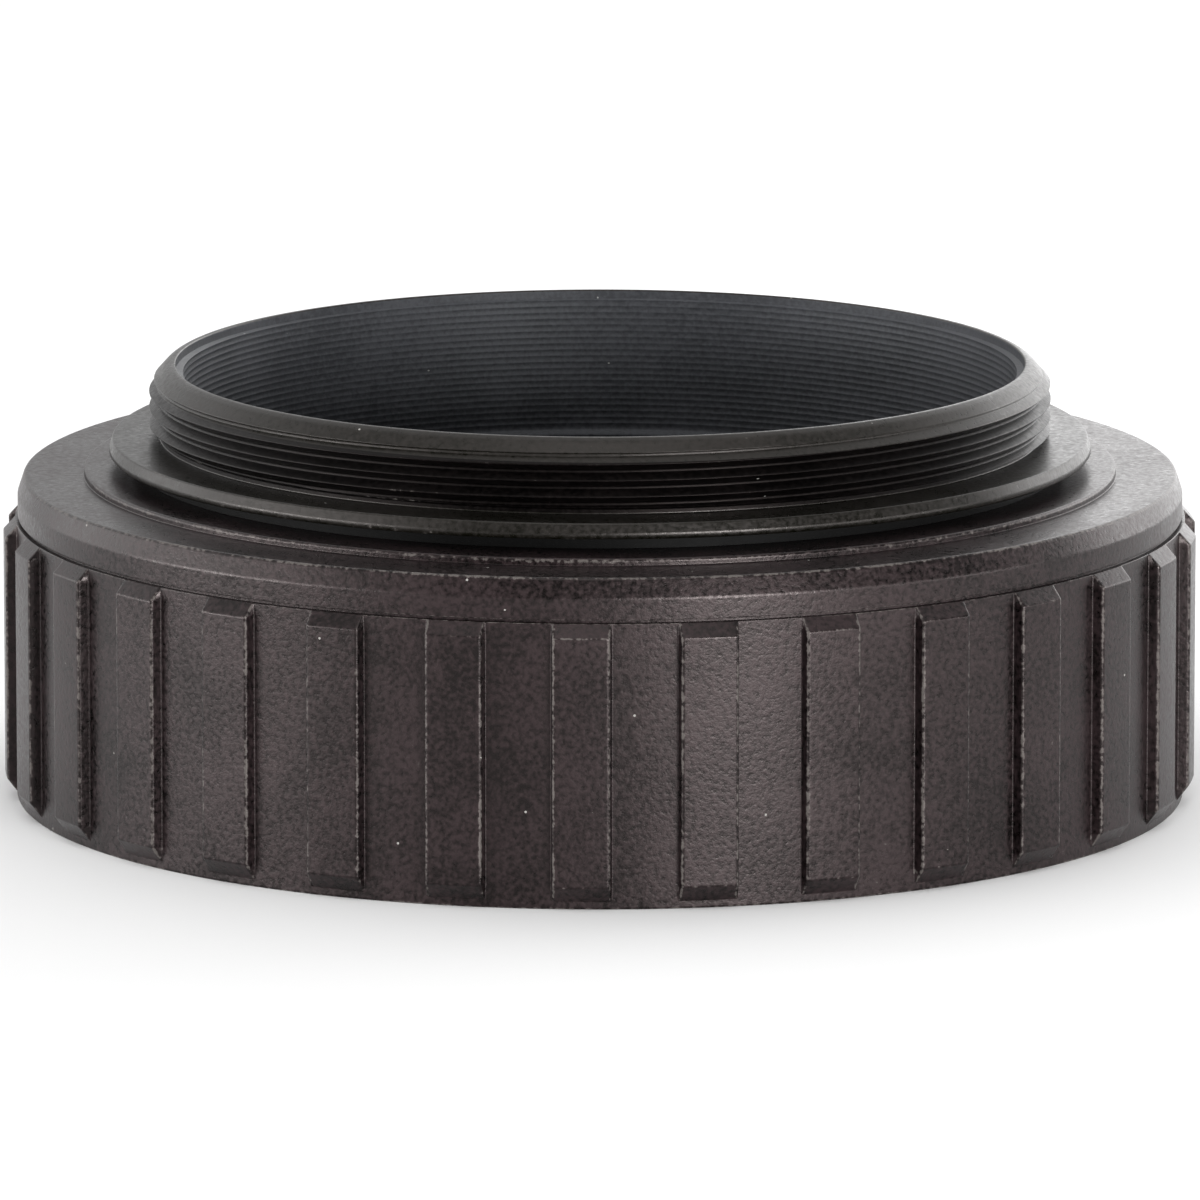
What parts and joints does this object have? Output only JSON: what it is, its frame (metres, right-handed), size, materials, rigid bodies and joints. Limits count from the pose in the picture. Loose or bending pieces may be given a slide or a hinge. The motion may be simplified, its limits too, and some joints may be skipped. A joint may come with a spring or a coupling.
{
  "type": "barlow lens",
  "caption": "Low screw-on barlow lens in a ribbed, turning black coupling ring: male thread with collar disc on the camera side, female thread on the telescope side.",
  "frame": {"origin": "on the optical axis, in the plane of the coupling ring's bottom edge, which the part stands on", "axes": "+Z along the optical axis towards the camera side; X and Y lie in the ring's bottom plane and -Y is the side seen from the front"},
  "size_m": [0.0556, 0.0556, 0.0203],
  "materials": {
    "black_anodised": "bead-blasted and black anodised, satin",
    "black_anodised_body": "turned and black anodised, satin",
    "black_acetal": "smooth",
    "spring_steel": "rolled sheet",
    "flocked_black": "dead matt black",
    "coated_glass": "polished, anti-reflection coated",
    "soft_black": "matt"
  },
  "bodies": {
    "optical_body": {"nose_body": "black_anodised_body", "top_glide_washer": "black_acetal", "bottom_glide_washer": "black_acetal", "wave_washer": "spring_steel", "flange_nut": "black_anodised_body", "glare_stop": "flocked_black", "lens_cell": "black_anodised_body", "crown_element": "coated_glass", "flint_element": "coated_glass", "lens_cushion_ring": "soft_black", "lens_retaining_ring": "black_anodised_body"},
    "coupling": {"grip_ring": "black_anodised"}
  },
  "joints": [
    {"name": "coupling_turn", "type": "hinge", "parent": "optical_body", "child": "coupling", "pos_m": [0, 0, 0.012], "axis": [0, 0, 1], "continuous": true}
  ]
}
